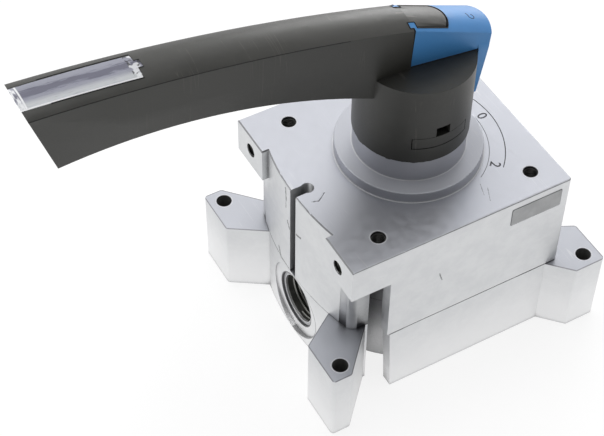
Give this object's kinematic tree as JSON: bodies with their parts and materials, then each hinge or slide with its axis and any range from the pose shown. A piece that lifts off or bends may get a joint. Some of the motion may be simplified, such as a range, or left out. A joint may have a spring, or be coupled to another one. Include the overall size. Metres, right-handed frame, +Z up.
{
  "type": "hand lever air valve",
  "caption": "Rotary plate air valve in a cast two-part housing with feet, worked by a long arched hand lever with a pointer cap and label holder.",
  "frame": {"origin": "on the lever's turning axis, in the plane the four feet stand on", "axes": "+Z up along the turning axis; -X towards the port under the lever and along the lever at rest; +Y towards the face with two ports"},
  "size_m": [0.214, 0.108, 0.1809],
  "materials": {
    "cast_aluminium": "satin, bead blasted",
    "lever_plastic": "satin, moulded",
    "cap_plastic": "satin, moulded",
    "clear_plastic": "clear",
    "label_paper": "matte",
    "steel": "ground",
    "seal_rubber": "matte",
    "bush_plastic": "matte",
    "disc_plastic": "ground flat"
  },
  "bodies": {
    "housing": {"lower_housing": "cast_aluminium", "upper_housing": "cast_aluminium", "housing_seal": "seal_rubber", "seat_disc": "steel", "port_seals": "seal_rubber", "seat_dowels": "steel", "detent_ring": "steel", "bearing_bush": "bush_plastic", "thrust_washer": "bush_plastic", "wiper_ring": "seal_rubber", "housing_screws": "steel"},
    "lever": {"lever": "lever_plastic", "pointer_cap": "cap_plastic", "label_window": "clear_plastic", "label_strip": "label_paper", "hub_clip": "lever_plastic", "spindle": "steel", "shaft_seal": "seal_rubber", "rotary_disc": "disc_plastic", "cup_springs": "steel", "drive_pins": "steel", "detent_springs": "steel"},
    "ball_front": {"detent_ball_front": "steel"},
    "ball_rear": {"detent_ball_rear": "steel"}
  },
  "joints": [
    {"name": "lever_turn", "type": "hinge", "parent": "housing", "child": "lever", "pos_m": [0, 0, 0], "axis": [0, 0, 1], "range_deg": [-45, 45]},
    {"name": "ball_front_slide", "type": "slide", "parent": "lever", "child": "ball_front", "axis": [-1, 0, 0], "range_m": [0, 0.0008]},
    {"name": "ball_rear_slide", "type": "slide", "parent": "lever", "child": "ball_rear", "axis": [1, 0, 0], "range_m": [0, 0.0008]}
  ],
  "couplings": [
    {"joint": "ball_rear_slide", "follows": "ball_front_slide", "ratio": 1}
  ]
}
